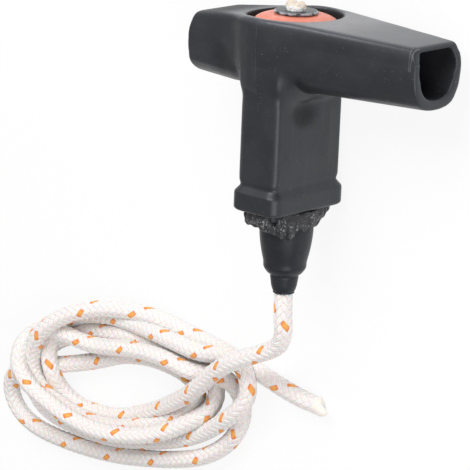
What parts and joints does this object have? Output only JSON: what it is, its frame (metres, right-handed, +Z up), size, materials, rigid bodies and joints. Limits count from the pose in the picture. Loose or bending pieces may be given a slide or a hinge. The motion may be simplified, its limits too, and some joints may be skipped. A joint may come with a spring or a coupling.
{
  "type": "recoil starter handle",
  "caption": "T-shaped moulded pull handle with a rectangular stem, tapered rope nozzle, damped rope seat and a loosely coiled braided cord.",
  "frame": {"origin": "on the surface that the handle lies on, under the centre of the handle's own box, rope not counted", "axes": "+X along the bar towards its long arm, +Y from the nozzle to the palm face, +Z up from the surface it lies on"},
  "size_m": [0.1637, 0.1485, 0.0294],
  "materials": {
    "grip_plastic": "fine satin black moulding",
    "cap_plastic": "orange satin moulding",
    "disc_plastic": "glossy dark grey",
    "rope_end": "melted cream rope end",
    "rope": "white braid with orange flecks",
    "damper_rubber": "black rubber",
    "plug_plastic": "satin black moulding",
    "bead_plastic": "rough black bead with pale specks"
  },
  "bodies": {
    "rope_side": {"thrust_cap": "cap_plastic", "knot_disc": "disc_plastic", "rope_stub": "rope_end", "rope_core": "rope", "rope_run": "rope", "rope_coil": "rope", "rope_tail": "rope"},
    "grip_side": {"grip_shell": "grip_plastic", "end_plug": "plug_plastic", "weld_bead": "bead_plastic", "damper": "damper_rubber"}
  },
  "joints": [
    {"name": "grip_travel", "type": "slide", "parent": "rope_side", "child": "grip_side", "axis": [0, 1, 0], "range_m": [0, 0.0055], "stiffness_N_per_m": 2000, "deforming": ["damper"]}
  ]
}
